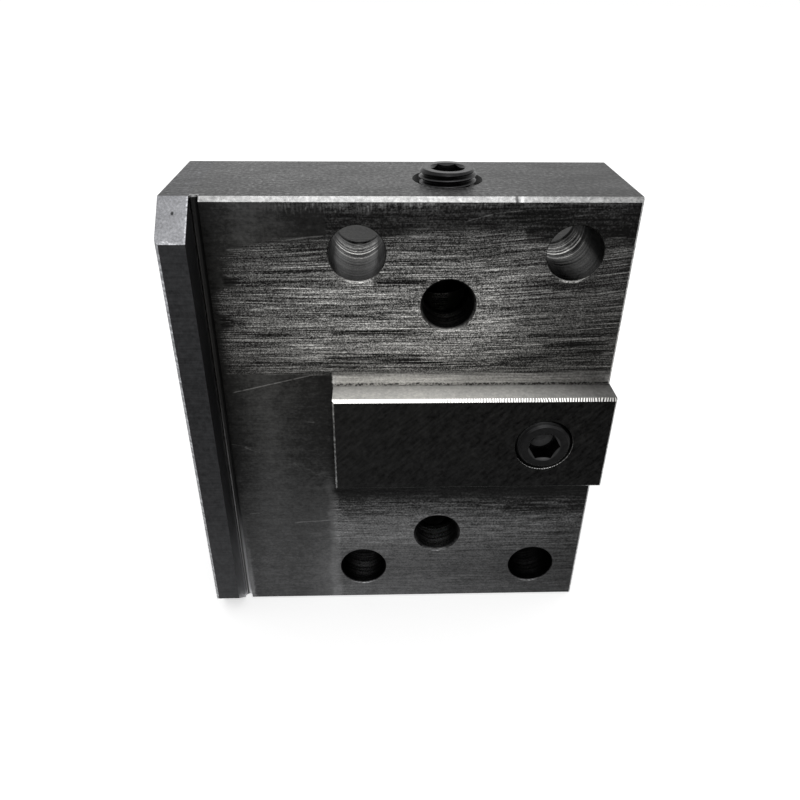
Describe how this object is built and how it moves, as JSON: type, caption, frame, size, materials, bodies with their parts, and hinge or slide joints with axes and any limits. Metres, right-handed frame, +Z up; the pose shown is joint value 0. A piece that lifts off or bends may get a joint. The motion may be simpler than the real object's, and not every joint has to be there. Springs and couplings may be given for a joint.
{
  "type": "u-drill holder",
  "caption": "Steel turret block for an indexable drill: keyed mounting face with a locating lip, a cross bore clamped by set screws, and drilled coolant passages.",
  "frame": {"origin": "centre of the four mounting holes, on the mounting face", "axes": "+Z up along the plate's height, +Y from the mounting face to the back of the boss, +X along the drill bore from its mouth to the rear cap"},
  "size_m": [0.1242, 0.0863, 0.1226],
  "materials": {
    "body_steel": "dark alloy steel, milled and ground, with fine bright scratches and bare bright chamfers",
    "cap_steel": "turned steel, blackened",
    "plug_steel": "black oxide with an oily sheen",
    "clamp_screw_steel": "black oxide with an oily sheen",
    "cap_screw_steel": "black oxide with an oily sheen",
    "spring_steel": "plain spring steel",
    "oring_rubber": "matte black nitrile rubber"
  },
  "bodies": {
    "holder": {"holder_body": "body_steel", "coolant_plug_top": "plug_steel", "coolant_plug_key": "plug_steel", "coolant_plug_side": "plug_steel", "rear_cap": "cap_steel", "rear_cap_oring": "oring_rubber", "rear_cap_screw_1": "cap_screw_steel", "rear_cap_screw_2": "cap_screw_steel", "rear_cap_screw_3": "cap_screw_steel", "rear_cap_screw_4": "cap_screw_steel", "rear_cap_spring_washer_1": "spring_steel", "rear_cap_spring_washer_2": "spring_steel", "rear_cap_spring_washer_3": "spring_steel", "rear_cap_spring_washer_4": "spring_steel"},
    "clamp_screw_front": {"clamp_screw_front": "clamp_screw_steel"},
    "clamp_screw_middle": {"clamp_screw_middle": "clamp_screw_steel"},
    "clamp_screw_rear": {"clamp_screw_rear": "clamp_screw_steel"}
  },
  "joints": [
    {"name": "clamp_screw_front_travel", "type": "slide", "parent": "holder", "child": "clamp_screw_front", "axis": [0, -1, 0], "range_m": [-0.003, 0.0025]},
    {"name": "clamp_screw_middle_travel", "type": "slide", "parent": "holder", "child": "clamp_screw_middle", "axis": [0, -1, 0], "range_m": [-0.003, 0.0025]},
    {"name": "clamp_screw_rear_travel", "type": "slide", "parent": "holder", "child": "clamp_screw_rear", "axis": [0, -1, 0], "range_m": [-0.003, 0.0025]}
  ]
}
